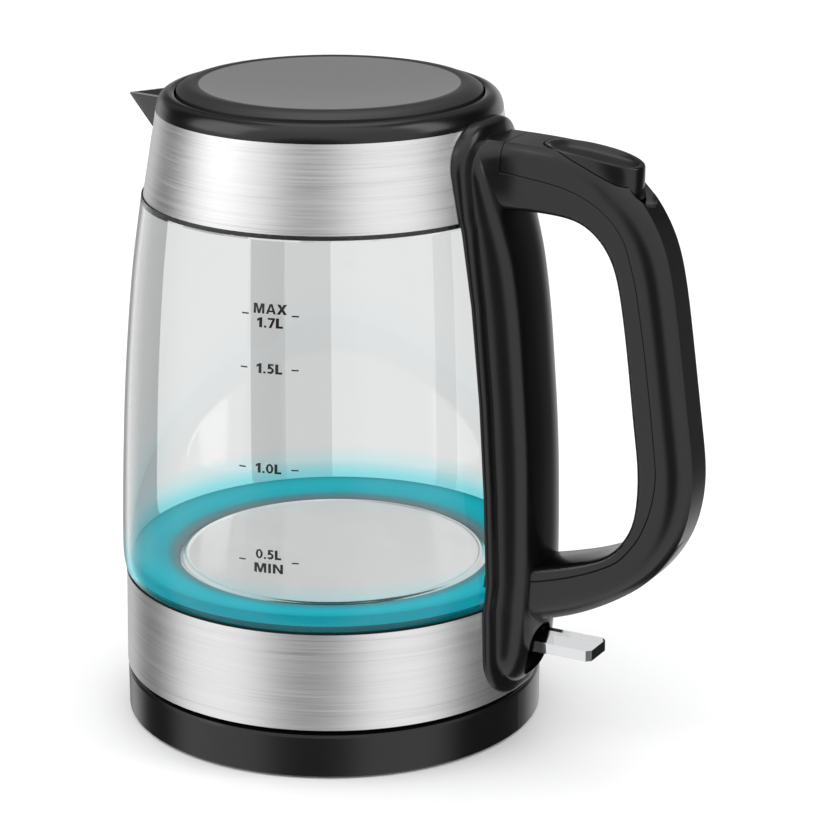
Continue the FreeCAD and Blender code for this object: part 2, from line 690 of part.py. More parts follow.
# ---- handle ----------------------------------------------------------------------------------------
def handle_section(outer, inner, inset):
    """A rounded rectangle across the handle, from its outer point to its inner point."""
    a = V(outer[0], 0, outer[1])
    b = V(inner[0], 0, inner[1])
    along = (b - a).normalize()
    a = a + along * inset
    b = b - along * inset
    half = HANDLE_HALF_W - inset
    radius = 6.6 - inset
    bend = radius * (1 - math.sqrt(0.5))

    def at(point, depth, side):
        return point + along * depth + Y_DIR * side

    edges = []
    for point, sign in ((a, 1), (b, -1)):
        start = at(point, sign * radius, sign * half)
        middle = at(point, sign * bend, sign * (half - bend))
        end = at(point, 0, sign * (half - radius))
        edges.append(Part.Arc(start, middle, end).toShape())
        edges.append(line(end, at(point, 0, -sign * (half - radius))))
        middle = at(point, sign * bend, -sign * (half - bend))
        last = at(point, sign * radius, -sign * half)
        edges.append(Part.Arc(at(point, 0, -sign * (half - radius)), middle, last).toShape())
        other = b if point is a else a
        edges.append(line(last, at(other, -sign * radius, -sign * half)))
    return Part.Wire(edges)


def button_planform(grow, z0, z1):
    """The button's long oval, seen from above, as a prism."""
    middle = (BUTTON_X0 + BUTTON_X1) / 2
    half_length = (BUTTON_X1 - BUTTON_X0) / 2 + grow
    points = []
    for i in range(36):
        angle = math.radians(10.0 * i)
        u = math.copysign(abs(math.cos(angle)) ** 0.8, math.cos(angle))
        v = math.copysign(abs(math.sin(angle)) ** 0.8, math.sin(angle))
        points.append(V(middle + half_length * u, (BUTTON_HALF_W + grow) * v, z0))
    curve = Part.BSplineCurve()
    curve.interpolate(Points=points, PeriodicFlag=True)
    face = Part.Face(Part.Wire([curve.toShape()]))
    return face.extrude(V(0, 0, z1 - z0))


BUTTON_SIDE = [(80.0, 213.2), (86.0, 213.2), (92.0, 212.0), (99.0, 211.4), (106.0, 210.6), (113.0, 209.3),
               (117.0, 207.8), (118.6, 205.0), (118.6, 201.4), (115.0, 201.6), (110.0, 204.0),
               (100.0, 206.8), (90.0, 208.6), (80.0, 209.6)]
BUTTON_WELL = [(79.0, 208.0), (84.0, 204.0), (90.0, 204.4), (100.0, 202.8), (110.0, 199.4), (113.0, 197.6),
               (121.0, 196.8), (121.0, 225.0), (79.0, 225.0)]
BEARING_Y = (4.9, 8.6)
SPRING_X = 107.0
SPRING_FLOOR = 197.0
SPRING_TOP = 204.2
HANDLE_SCREW_X = 88.0
LOWER_SCREW_X = 97.0
LOWER_SCREW_Z = 52.6


def make_handle_shells():
    solid = Part.makeLoft([handle_section(a, b, 0.0) for a, b in HANDLE_SECTIONS], True, False)
    core = Part.makeLoft([handle_section(a, b, HANDLE_WALL) for a, b in HANDLE_SECTIONS[1:-1]], True, False)
    shell = solid.cut(spine_solid).cut(body_core).cut(core)
    seam = [V(x, -20, z) for x, z in HANDLE_SEAM]
    around = [V(84, -20, 30), V(160, -20, 30), V(160, -20, 230), V(69.5, -20, 230)]
    edges = [spline_edge(seam), line(seam[-1], around[0])]
    edges += [line(a, b) for a, b in zip(around, around[1:])]
    edges.append(line(around[-1], seam[0]))
    outside = Part.Face(Part.Wire(edges)).extrude(V(0, 40, 0))
    well = button_planform(0.4, 190.0, 225.0).common(prism_y(BUTTON_WELL, 15.0))
    pin_hole = rod_y(PIN_SHANK, 12.0, BUTTON_PIVOT_X, BUTTON_PIVOT_Z)

    bearings = []
    for side in (-1, 1):
        y0, y1 = sorted((side * BEARING_Y[0], side * BEARING_Y[1]))
        bearings.append(box(BUTTON_PIVOT_X - 2.6, BUTTON_PIVOT_X + 2.6, y0, y1, 205.6, 211.2))
    cover = fused([shell.common(outside)] + bearings)
    cover = cover.cut(well).cut(pin_hole).cut(latch_path)

    spring_post = disc(3.6, 188.5, SPRING_FLOOR, SPRING_X - 4.0, 0)
    spring_post = spring_post.fuse(disc(3.6, 193.0, SPRING_FLOOR, SPRING_X, 0))
    frame = shell.cut(outside)
    frame = frame.fuse(spring_post.common(solid).cut(outside)).cut(well).cut(latch_path)
    return frame, cover


def make_handle_screws():
    upper = disc(SCREW_HEAD_R, 191.6, 193.2, HANDLE_SCREW_X, 0).fuse(disc(SCREW_R, 193.2, 200.6, HANDLE_SCREW_X, 0))
    lower = disc(SCREW_HEAD_R, LOWER_SCREW_Z, LOWER_SCREW_Z + 1.6, LOWER_SCREW_X, 0)
    lower = lower.fuse(disc(SCREW_R, LOWER_SCREW_Z + 1.6, LOWER_SCREW_Z + 11.0, LOWER_SCREW_X, 0))
    return Part.makeCompound([upper, lower])


def biggest(shape):
    """The main solid of a shape, without crumbs that a cut may leave."""
    return max(shape.Solids, key=lambda solid: solid.Volume)


handle_frame, handle_cover = make_handle_shells()
handle_screws = make_handle_screws()
for fixing in handle_screws.Solids:
    handle_frame = handle_frame.cut(fixing)
    handle_cover = handle_cover.cut(fixing)
save(biggest(handle_frame), "handle_frame")
save(biggest(handle_cover), "handle_cover")
save(handle_screws, "handle_screws")
save(rod_y(PIN_SHANK, 8.6, BUTTON_PIVOT_X, BUTTON_PIVOT_Z), "button_pin")


def make_button_spring():
    spring = coil(2.4, 0.4, 4, SPRING_TOP - SPRING_FLOOR - 0.9)
    spring.translate(V(SPRING_X, 0, SPRING_FLOOR + 0.45))
    return spring


def make_release_button():
    pad = button_planform(0.0, 195.0, 220.0).common(prism_y(BUTTON_SIDE, 12.0))
    lug = box(BUTTON_PIVOT_X - 1.8, BUTTON_PIVOT_X + 1.8, -3.0, 3.0, 206.2, 210.5)
    foot = box(96.5, 99.5, -2.4, 2.4, 206.2, 208.6)
    button = fused([pad, lug, foot])
    dish = Part.makeSphere(60.0, V(101.0, 0, 209.6 + 60.0))
    return button.cut(dish).cut(rod_y(PIN_SHANK + RUN_FIT, 12.0, BUTTON_PIVOT_X, BUTTON_PIVOT_Z))


def make_latch_slider():
    return prism_y(latch_outline(0.0), LATCH_HALF_W)


save(make_button_spring(), "button_spring")
save(make_release_button(), "release_button")
save(make_latch_slider(), "latch_slider")


# ---- switch lever ----------------------------------------------------------------------------------
def make_switch_lever():
    half_t = LEVER_T / 2
    tip = LEVER_TIP_X
    half_w = LEVER_HALF_W
    outline = [(66.4, -half_w), (tip - 1.6, -half_w), (tip, -half_w + 1.6), (tip, half_w - 1.6),
               (tip - 1.6, half_w), (66.4, half_w)]
    plate = polygon([V(x, y, LEVER_Z - half_t) for x, y in outline]).extrude(V(0, 0, LEVER_T))
    hub = rod_y(2.6, half_w, LEVER_PIVOT_X, LEVER_Z)
    lever = fused([plate, hub])
    return lever.cut(rod_y(PIN_SHANK + RUN_FIT, 12.0, LEVER_PIVOT_X, LEVER_Z))


save(make_switch_lever(), "switch_lever")
save(rod_y(PIN_SHANK, 10.6, LEVER_PIVOT_X, LEVER_Z), "lever_pin")
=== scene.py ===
import json
import math

import bmesh
import bpy
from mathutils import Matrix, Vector


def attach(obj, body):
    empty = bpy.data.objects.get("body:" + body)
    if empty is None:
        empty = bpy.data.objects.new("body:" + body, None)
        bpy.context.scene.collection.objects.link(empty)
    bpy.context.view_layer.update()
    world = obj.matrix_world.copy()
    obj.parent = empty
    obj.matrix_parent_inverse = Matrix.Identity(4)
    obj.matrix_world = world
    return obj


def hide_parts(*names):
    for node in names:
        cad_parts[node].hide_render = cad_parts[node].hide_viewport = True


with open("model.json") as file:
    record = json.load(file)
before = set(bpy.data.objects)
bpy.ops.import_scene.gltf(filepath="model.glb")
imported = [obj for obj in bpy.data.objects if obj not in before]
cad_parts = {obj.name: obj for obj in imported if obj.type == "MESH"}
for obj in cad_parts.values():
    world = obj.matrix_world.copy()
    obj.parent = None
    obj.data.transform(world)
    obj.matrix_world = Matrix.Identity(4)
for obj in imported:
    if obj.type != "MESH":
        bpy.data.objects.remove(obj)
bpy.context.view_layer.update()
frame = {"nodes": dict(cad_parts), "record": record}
MM = 0.001

# ---- camera -------------------------------------------------------------------------------------
# Stands 30 degrees round from the front towards the handle and looks 18 degrees down.
CAMERA_PLACE = Vector((0.5030, -0.8712, 0.4291))
CAMERA_LOOK = Vector((-0.4526, 0.8378, -0.3054))
CAMERA_LENS = 130.64


def add_camera():
    data = bpy.data.cameras.new("camera")
    data.lens = CAMERA_LENS
    data.sensor_width = 36.0
    data.clip_end = 50.0
    camera = bpy.data.objects.new("camera", data)
    camera.location = CAMERA_PLACE
    camera.rotation_euler = CAMERA_LOOK.to_track_quat("-Z", "Y").to_euler()
    bpy.context.scene.collection.objects.link(camera)
    bpy.context.scene.camera = camera


# ---- node helpers -------------------------------------------------------------------------------
class Shader:
    """A material with one Principled shader and short calls for the nodes that feed it."""

    def __init__(self, name, **sockets):
        self.material = bpy.data.materials.new(name)
        self.material.use_nodes = True
        self.tree = self.material.node_tree
        self.shader = self.tree.nodes["Principled BSDF"]
        for socket, value in sockets.items():
            self.shader.inputs[socket.replace("_", " ")].default_value = value

    def node(self, kind, **settings):
        node = self.tree.nodes.new(kind)
        for key, value in settings.items():
            setattr(node, key, value)
        return node

    def link(self, out, into):
        self.tree.links.new(out, into)

    def feed(self, out, socket):
        self.link(out, self.shader.inputs[socket])

    def object_point(self, scale):
        """Object coordinates in metres, multiplied by scale along each axis."""
        coordinates = self.node("ShaderNodeTexCoord")
        mapping = self.node("ShaderNodeMapping")
        mapping.inputs["Scale"].default_value = scale
        self.link(coordinates.outputs["Object"], mapping.inputs["Vector"])
        return mapping.outputs["Vector"]

    def noise(self, scale, detail=2.0, rough=0.5):
        node = self.node("ShaderNodeTexNoise")
        node.inputs["Scale"].default_value = 1.0
        node.inputs["Detail"].default_value = detail
        node.inputs["Roughness"].default_value = rough
        self.link(self.object_point(scale), node.inputs["Vector"])
        return node.outputs["Fac"]

    def ramp(self, value, low, high):
        """value, from 0 to 1, turned into low to high."""
        node = self.node("ShaderNodeMapRange")
        node.inputs["To Min"].default_value = low
        node.inputs["To Max"].default_value = high
        self.link(value, node.inputs["Value"])
        return node.outputs["Result"]

    def colours(self, value, stops):
        node = self.node("ShaderNodeValToRGB")
        elements = node.color_ramp.elements
        while len(elements) < len(stops):
            elements.new(0.5)
        for element, (place, colour) in zip(elements, stops):
            element.position = place
            element.color = tuple(colour) + (1.0,)
        self.link(value, node.inputs["Fac"])
        return node.outputs["Color"]

    def height(self, z0, z1):
        """0 at height z0 and 1 at height z1, in the row frame."""
        coordinates = self.node("ShaderNodeTexCoord")
        split = self.node("ShaderNodeSeparateXYZ")
        self.link(coordinates.outputs["Object"], split.inputs["Vector"])
        node = self.node("ShaderNodeMapRange")
        node.inputs["From Min"].default_value = z0
        node.inputs["From Max"].default_value = z1
        self.link(split.outputs["Z"], node.inputs["Value"])
        return node.outputs["Result"]

    def radius(self, r0, r1):
        """0 at distance r0 from the kettle's axis and 1 at r1."""
        node = self.node("ShaderNodeVectorMath", operation="LENGTH")
        self.link(self.object_point((1, 1, 0)), node.inputs[0])
        spread = self.node("ShaderNodeMapRange")
        spread.inputs["From Min"].default_value = r0
        spread.inputs["From Max"].default_value = r1
        self.link(node.outputs["Value"], spread.inputs["Value"])
        return spread.outputs["Result"]

    def bump(self, value, strength, distance):
        node = self.node("ShaderNodeBump")
        node.inputs["Strength"].default_value = strength
        node.inputs["Distance"].default_value = distance
        self.link(value, node.inputs["Height"])
        self.feed(node.outputs["Normal"], "Normal")


# ---- materials ----------------------------------------------------------------------------------
GRAIN_DEPTH = 0.00004
BRUSH_DEPTH = 0.00002


def moulded_plastic(name, shade, roughness, grain=3200.0, gloss=0.3):
    """Moulded plastic: fine spark-eroded grain and a slightly uneven sheen."""
    s = Shader(name, Metallic=0.0)
    s.shader.inputs["Specular IOR Level"].default_value = gloss
    cloudy = s.noise((14, 14, 14), detail=3.0)
    s.feed(s.ramp(cloudy, roughness - 0.05, roughness + 0.05), "Roughness")
    tone = s.noise((30, 30, 30), detail=4.0)
    s.feed(s.colours(tone, [(0.3, [shade * 0.9] * 3), (0.7, [shade * 1.12] * 3)]), "Base Color")
    s.bump(s.noise((grain, grain, grain), detail=1.0), 0.12, GRAIN_DEPTH)
    return s.material


# Edge of the lid's painted sheen: the dish inside this radius is painted paler than the band.
DISH_EDGE_R = 0.0446
DISH_EDGE_SOFT = 0.0002


def lid_plastic_with_painted_sheen(name):
    """Charcoal plastic with a fine matt grain; the dish is painted paler than the band round it, a painted
    sheen standing in for the bright room's reflection.
    """
    s = Shader(name, Metallic=0.0)
    s.shader.inputs["Specular IOR Level"].default_value = 0.65
    from_edge = s.radius(DISH_EDGE_R - DISH_EDGE_SOFT, DISH_EDGE_R + DISH_EDGE_SOFT)
    # Painted sheen: the dish's paler base colour stands in for reflection on the same black plastic as the
    # band.
    tone = [(0.0, (0.155, 0.155, 0.157)), (1.0, (0.012, 0.012, 0.012))]
    s.feed(s.colours(from_edge, tone), "Base Color")
    s.feed(s.ramp(s.noise((25, 25, 25), detail=3.0), 0.34, 0.46), "Roughness")
    s.bump(s.noise((2600, 2600, 2600), detail=1.0), 0.14, GRAIN_DEPTH)
    return s.material


def brushed_steel(name, shade, roughness):
    """Sheet steel brushed round the body: streaks run level and are fine from top to bottom."""
    s = Shader(name, Metallic=1.0)
    s.shader.inputs["Anisotropic"].default_value = 0.45
    tangent = s.node("ShaderNodeTangent", direction_type="RADIAL", axis="Z")
    s.feed(tangent.outputs["Tangent"], "Tangent")
    fine = s.noise((26, 26, 2600), detail=3.0, rough=0.6)
    lines = s.noise((7, 7, 620), detail=3.0, rough=0.7)
    s.feed(s.ramp(fine, roughness - 0.08, roughness + 0.12), "Roughness")
    both = s.node("ShaderNodeMix")
    both.inputs["Factor"].default_value = 0.45
    s.link(fine, both.inputs["A"])
    s.link(lines, both.inputs["B"])
    s.feed(s.colours(both.outputs["Result"],
                     [(0.34, [shade * 0.80] * 3), (0.44, [shade * 0.96] * 3), (0.62, [shade * 1.05] * 3)]),
           "Base Color")
    s.bump(fine, 0.2, BRUSH_DEPTH)
    return s.material


def turned_steel(name, shade, roughness):
    """Steel with a faint, cloudy sheen."""
    s = Shader(name, Metallic=1.0)
    tone = s.noise((60, 60, 60), detail=3.0)
    s.feed(s.ramp(tone, roughness - 0.02, roughness + 0.03), "Roughness")
    s.feed(s.colours(tone, [(0.3, [shade * 0.98] * 3), (0.7, [shade * 1.02] * 3)]), "Base Color")
    return s.material


def rubber(name, shade):
    s = Shader(name, Metallic=0.0)
    s.shader.inputs["Specular IOR Level"].default_value = 0.2
    tone = s.noise((400, 400, 400), detail=3.0)
    s.feed(s.ramp(tone, 0.6, 0.8), "Roughness")
    s.feed(s.colours(tone, [(0.3, [shade * 0.85] * 3), (0.7, [shade * 1.2] * 3)]), "Base Color")
    return s.material


# Heights of the glass's painted ring glow: strongest at the base height, gone at the fade height.
LIGHT_BASE_Z = 0.0560
LIGHT_FADE_Z = 0.0710


def jug_glass_with_painted_glow(name):
    """Clear glass; its foot has a painted teal tint and a painted glow that stand in for the ring's light,
    and this fades upwards.
    """
    s = Shader(name, Metallic=0.0, Roughness=0.0, IOR=1.38)
    s.shader.inputs["Specular IOR Level"].default_value = 0.28
    s.shader.inputs["Transmission Weight"].default_value = 1.0
    rise = s.height(LIGHT_BASE_Z, LIGHT_FADE_Z)
    # Painted light: the teal base colour at the foot stands in for the ring's light in the clear glass.
    painted_ring_tint = [(0.0, (0.22, 0.80, 0.86)), (0.25, (0.34, 0.86, 0.90)), (0.6, (0.76, 0.96, 0.97)),
            (1.0, (0.985, 0.99, 0.99))]
    # Painted glow: the glass emits teal near its foot, though it is no lamp.
    glow = [(0.0, (0.0, 0.040, 0.048)), (0.3, (0.0, 0.030, 0.036)), (1.0, (0.0, 0.0, 0.0))]
    s.feed(s.colours(rise, painted_ring_tint), "Base Color")
    s.feed(s.colours(rise, glow), "Emission Color")
    s.shader.inputs["Emission Strength"].default_value = 1.0
    return s.material


def clear_acrylic(name):
    s = Shader(name, Metallic=0.0, IOR=1.49)
    s.shader.inputs["Transmission Weight"].default_value = 1.0
    s.shader.inputs["Base Color"].default_value = (0.94, 0.95, 0.96, 1.0)
    s.feed(s.ramp(s.noise((90, 90, 90)), 0.02, 0.07), "Roughness")
    return s.material


RING_INNER_R = 0.0552
RING_OUTER_R = 0.0717


def lit_ring(name):
    """Translucent ring lit from below: grey along its inner edge and brightest at its middle."""
    s = Shader(name, Metallic=0.0, Roughness=0.5)
    s.shader.inputs["Specular IOR Level"].default_value = 0.08
    glow = [(0.0, (0.16, 0.20, 0.21)), (0.14, (0.07, 0.26, 0.30)), (0.30, (0.0, 0.43, 0.52)),
            (0.62, (0.0, 0.50, 0.60)), (0.86, (0.0, 0.44, 0.52)), (1.0, (0.0, 0.30, 0.36))]
    tone = [(0.3, (0.0, 0.05, 0.06)), (0.7, (0.0, 0.07, 0.08))]
    s.feed(s.colours(s.radius(RING_INNER_R, RING_OUTER_R), glow), "Emission Color")
    s.feed(s.colours(s.noise((35, 35, 35)), tone), "Base Color")
    s.shader.inputs["Emission Strength"].default_value = 0.74
    return s.material


def plain_metal(name, colour, roughness):
    s = Shader(name, Metallic=1.0)
    tone = s.noise((250, 250, 250), detail=3.0)
    s.feed(s.ramp(tone, roughness - 0.06, roughness + 0.08), "Roughness")
    low = [c * 0.9 for c in colour]
    s.feed(s.colours(tone, [(0.3, low), (0.7, colour)]), "Base Color")
    return s.material


MATERIALS = {
    "black_plastic": moulded_plastic("black_plastic", 0.003, 0.22, gloss=0.5),
    "black_inner_plastic": moulded_plastic("black_inner_plastic", 0.006, 0.5),
    "lid_panel": lid_plastic_with_painted_sheen("lid_panel"),
    "brushed_steel": brushed_steel("brushed_steel", 0.86, 0.32),
    "plate_steel": turned_steel("plate_steel", 0.84, 0.17),
    "mesh_steel": turned_steel("mesh_steel", 0.6, 0.4),
    "clear_glass": jug_glass_with_painted_glow("clear_glass"),
    "clear_acrylic": clear_acrylic("clear_acrylic"),
    "light_diffuser": lit_ring("light_diffuser"),
    "black_rubber": rubber("black_rubber", 0.005),
    "contact_brass": plain_metal("contact_brass", (0.78, 0.58, 0.28), 0.3),
    "aluminium": plain_metal("aluminium", (0.8, 0.8, 0.82), 0.4),
    "spring_steel": plain_metal("spring_steel", (0.66, 0.67, 0.7), 0.22),
    "screw_steel": plain_metal("screw_steel", (0.58, 0.59, 0.62), 0.32),
    "circuit_board": moulded_plastic("circuit_board", 0.05, 0.45),
    "led_lens": moulded_plastic("led_lens", 0.7, 0.3),
}


def dress_cad_nodes():
    """Gives each CAD node the procedural material of its slot."""
    slots = {row["node"]: row["material_slot"] for row in frame["record"]["subparts"]}
    for name, obj in frame["nodes"].items():
        obj.data.materials.clear()
        obj.data.materials.append(MATERIALS[slots[name]])


# ---- mesh helpers -------------------------------------------------------------------------------
SAME_POINT = 0.000002


def new_piece(name, points, faces, crease=32.0):
    """A mesh object from points in millimetres, smooth except where it turns by more than crease."""
    mesh = bpy.data.meshes.new(name)
    mesh.from_pydata([Vector(p) * MM for p in points], [], faces)
    work = bmesh.new()
    work.from_mesh(mesh)
    bmesh.ops.remove_doubles(work, verts=work.verts, dist=SAME_POINT)
    bmesh.ops.recalc_face_normals(work, faces=work.faces)
    work.to_mesh(mesh)
    work.free()
    obj = bpy.data.objects.new(name, mesh)
    bpy.context.scene.collection.objects.link(obj)
    shade(obj, crease)
    return obj


def shade(obj, crease):
    obj.data.polygons.foreach_set("use_smooth", [True] * len(obj.data.polygons))
    obj.data.set_sharp_from_angle(angle=math.radians(crease))


def loft(name, rings, ends=True, crease=32.0):
    """Skin over closed rings that all have the same number of points."""
    count = len(rings[0])
    points = [p for ring in rings for p in ring]
    faces = []
    for i in range(len(rings) - 1):
        for k in range(count):
            j = (k + 1) % count
            faces.append((i * count + k, i * count + j, (i + 1) * count + j, (i + 1) * count + k))
    if ends:
        last = (len(rings) - 1) * count
        faces.append(tuple(range(count)))
        faces.append(tuple(range(last + count - 1, last - 1, -1)))
    return new_piece(name, points, faces, crease)


def revolve(name, outline, steps=240, crease=32.0):
    """A closed outline of (radius, z) turned round the Z axis."""
    rings = []
    for i in range(steps + 1):
        turn = 2 * math.pi * i / steps
        rings.append([(r * math.cos(turn), r * math.sin(turn), z) for r, z in outline])
    return loft(name, rings, ends=False, crease=crease)


def smooth_line(points, per_span):
    """A Catmull-Rom curve through points, with per_span steps between neighbours."""
    points = [Vector(p) for p in points]
    padded = [2 * points[0] - points[1]] + points + [2 * points[-1] - points[-2]]
    out = []
    for i in range(1, len(padded) - 2):
        a, b, c, d = padded[i - 1:i + 3]
        for k in range(per_span):
            t = k / per_span
            out.append(0.5 * (2 * b + (c - a) * t + (2 * a - 5 * b + 4 * c - d) * t * t
                              + (3 * b - a - 3 * c + d) * t ** 3))
    return out + [points[-1]]


def relaxed(points, rounds):
    """The same line with small waves taken out; its ends stay."""
    for _ in range(rounds):
        inner = [(points[i - 1] + 2 * points[i] + points[i + 1]) / 4 for i in range(1, len(points) - 1)]
        points = [points[0]] + inner + [points[-1]]
    return points


def unit_oval(steps, power):
    """Points round an oval of half-size 1; a smaller power makes it squarer."""
    out = []
    for k in range(steps):
        turn = 2 * math.pi * k / steps
        u = math.copysign(abs(math.cos(turn)) ** power, math.cos(turn))
        v = math.copysign(abs(math.sin(turn)) ** power, math.sin(turn))
        out.append((u, v))
    return out


def value_at(line, key):
    """Linear reading of a line of (key, value) pairs, held level past its ends."""
    if key <= line[0][0]:
        return line[0][1]
    for (k0, v0), (k1, v1) in zip(line, line[1:]):
        if key <= k1:
            return v0 + (v1 - v0) * (key - k0) / (k1 - k0)
    return line[-1][1]


def cut_away(obj, cutter, crease=32.0):
    """Takes the cutter's solid out of obj and removes the cutter."""
    step = obj.modifiers.new("cut", "BOOLEAN")
    step.operation = "DIFFERENCE"
    step.solver = "EXACT"
    step.object = cutter
    evaluated = obj.evaluated_get(bpy.context.evaluated_depsgraph_get())
    mesh = bpy.data.meshes.new_from_object(evaluated)
    obj.modifiers.clear()
    obj.data = mesh
    bpy.data.objects.remove(cutter)
    shade(obj, crease)


def settle(obj, body, slot, *nodes):
    """Gives a piece its finish, its body and the CAD nodes that it stands for."""
    obj.data.materials.clear()
    obj.data.materials.append(MATERIALS[slot])
    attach(obj, body)
    if nodes:
        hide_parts(*nodes)


# ---- glass --------------------------------------------------------------------------------------
GLASS_LINE = [(73.9, 53.1), (74.7, 62), (73.7, 94), (71.9, 126), (68.9, 159), (65.2, 185.2),
              (65.05, 185.85)]
GLASS_WALL = 2.2
GLASS_STEPS = 10
GLASS_EASE = 0.5
FOOT_LEAN = 0.1
TOP_LEAN = 0.08


def make_glass():
    """Clear jug wall, open at both ends, its outer corners eased."""
    outer = [tuple(p) for p in smooth_line(GLASS_LINE, GLASS_STEPS)]
    low, high = outer[0], outer[-1]
    inner = [(r - GLASS_WALL, z) for r, z in reversed(outer[1:-1])]
    outline = [(low[0] - GLASS_EASE, low[1]), (low[0] - FOOT_LEAN, low[1] + GLASS_EASE)] + outer[1:-1]
    outline += [(high[0] + TOP_LEAN, high[1] - GLASS_EASE), (high[0] - GLASS_EASE, high[1])]
    outline += [(high[0] - GLASS_WALL, high[1])] + inner + [(low[0] - GLASS_WALL, low[1])]
    glass = revolve("glass_jug", outline)
    settle(glass, "kettle", "clear_glass", "glass_body")


SEAL_LINE = [(62.4, 185.9), (64.8, 185.9), (64.95, 186.1), (64.8, 187.1), (64.6, 187.3), (62.4, 187.3)]


def make_upper_seal():
    """Thin black ring between the glass and the steel collar."""
    seal = revolve("seal_ring", SEAL_LINE)
    settle(seal, "kettle", "black_rubber", "upper_glass_seal")


def glass_radius(z):
    return value_at([(height, r) for r, height in GLASS_LINE], z)


PLATE_LINE = [(0.0, 56.0), (51.2, 56.0), (51.7, 56.08), (52.1, 56.3), (52.5, 56.4), (52.9, 56.3),
              (53.3, 55.9), (54.1, 55.5), (54.9, 55.4), (55.2, 55.1), (55.2, 54.4), (0.0, 54.4)]


def make_heating_plate():
    """Steel floor of the jug with a raised bead round its edge."""
    plate = revolve("jug_floor", PLATE_LINE, crease=50.0)
    settle(plate, "kettle", "plate_steel", "heating_plate")


MARK_ANGLE = -77.0
DASH_ANGLES = (-84.2, -69.9)
DASH_HALF_W = 1.2
DASH_HALF_H = 0.24
MARK_LIFT = 0.08
CAP_H = 3.3

# Each level: its height, then its words with their rise above it and their width.
LEVELS = [(161.4, [("MAX", 0.35, 11.4), ("1.7L", -4.2, 8.9)]), (143.6, [("1.5L", -1.6, 8.9)]),
          (110.0, [("1.0L", -1.6, 8.9)]), (77.9, [("0.5L", 0.8, 8.9), ("MIN", -4.0, 10.0)])]


def on_glass(x, z, angle):
    """A point x millimetres to the right of an angle, lying on the glass at height z."""
    radius = glass_radius(z) + MARK_LIFT
    turn = math.radians(angle) + x / radius
    return (radius * math.cos(turn), radius * math.sin(turn), z)


def arc(cx, cy, rx, ry, start, end, steps):
    """Points along part of an ellipse, from the start angle to the end angle in degrees."""
    out = []
    for k in range(steps + 1):
        turn = math.radians(start + (end - start) * k / steps)
        out.append((cx + rx * math.cos(turn), cy + ry * math.sin(turn)))
    return out


def ring_faces(outer, inner):
    """Four-sided outlines that fill the room between two rings."""
    count = len(outer)
    return [[outer[k], outer[(k + 1) % count], inner[(k + 1) % count], inner[k]] for k in range(count)]


# Bold letters one unit high: the advance, and the outlines that fill each letter.
GLYPHS = {
    "M": (1.10, [[(0, 0), (0.21, 0), (0.21, 0.66), (0.38, 0), (0.58, 0), (0.75, 0.66), (0.75, 0), (0.96, 0),
                  (0.96, 1), (0.65, 1), (0.48, 0.36), (0.31, 1), (0, 1)]]),
    "A": (0.96, [[(0, 0), (0.22, 0), (0.27, 0.19), (0.32, 0.36), (0.44, 0.76), (0.44, 1), (0.32, 1)],
                 [(0.88, 0), (0.56, 1), (0.44, 1), (0.44, 0.76), (0.56, 0.36), (0.61, 0.19), (0.66, 0)],
                 [(0.27, 0.19), (0.61, 0.19), (0.56, 0.36), (0.32, 0.36)]]),
    "X": (0.92, [[(-0.02, 0), (0.27, 0), (0.43, 0.30), (0.59, 0), (0.88, 0), (0.58, 0.51), (0.86, 1),
                  (0.57, 1), (0.43, 0.73), (0.29, 1), (0.0, 1), (0.28, 0.51)]]),
    "I": (0.36, [[(0, 0), (0.22, 0), (0.22, 1), (0, 1)]]),
    "N": (0.94, [[(0, 0), (0.21, 0), (0.21, 0.64), (0.57, 0), (0.79, 0), (0.79, 1), (0.58, 1), (0.58, 0.36),
                  (0.22, 1), (0, 1)]]),
    "L": (0.68, [[(0, 0), (0.62, 0), (0.62, 0.22), (0.27, 0.22), (0.27, 1), (0, 1)]]),
    "1": (0.63, [[(0.20, 0), (0.47, 0), (0.47, 1), (0.27, 1), (0.01, 0.83), (0.01, 0.58), (0.20, 0.71)]]),
    "7": (0.72, [[(0.10, 0), (0.34, 0), (0.64, 0.83), (0.64, 1), (0, 1), (0, 0.81), (0.41, 0.81)]]),
    "5": (0.74, [[(0.09, 1), (0.06, 0.44)] + arc(0.27, 0.36, 0.15, 0.13, 130, -115, 14)
                 + arc(0.29, 0.335, 0.34, 0.335, -150, 105, 18)
                 + [(0.26, 0.65), (0.27, 0.82), (0.59, 0.82), (0.59, 1)]]),
    "0": (0.78, ring_faces(arc(0.34, 0.5, 0.34, 0.5, 0, 342, 19), arc(0.34, 0.5, 0.13, 0.32, 0, 342, 19))),
    ".": (0.32, [[(0, 0), (0.21, 0), (0.21, 0.2), (0, 0.2)]]),
}


def lettering(text, width, height):
    """Outlines of a word of that width, its lower left at (-width / 2, 0)."""
    outlines = []
    cursor = 0.0
    for letter in text:
        advance, shapes = GLYPHS[letter]
        outlines += [[(x + cursor, y) for x, y in shape] for shape in shapes]
        cursor += advance
    full = max(x for outline in outlines for x, y in outline)
    return [[(x / full * width - width / 2, y * height) for x, y in outline] for outline in outlines]


def make_level_marks():
    """The printed levels: words and a dash at each side, laid on the glass."""
    points = []
    faces = []
    for level, words in LEVELS:
        for text, rise, width in words:
            for outline in lettering(text, width, CAP_H):
                faces.append(tuple(range(len(points), len(points) + len(outline))))
                points += [on_glass(x, level + rise + y, MARK_ANGLE) for x, y in outline]
        for angle in DASH_ANGLES:
            first = len(points)
            for x_sign, y_sign in ((-1, -1), (1, -1), (1, 1), (-1, 1)):
                points.append(on_glass(x_sign * DASH_HALF_W, level + y_sign * DASH_HALF_H, angle))
            faces.append((first, first + 1, first + 2, first + 3))
    marks = new_piece("level_marks", points, faces)
    settle(marks, "kettle", "black_plastic")


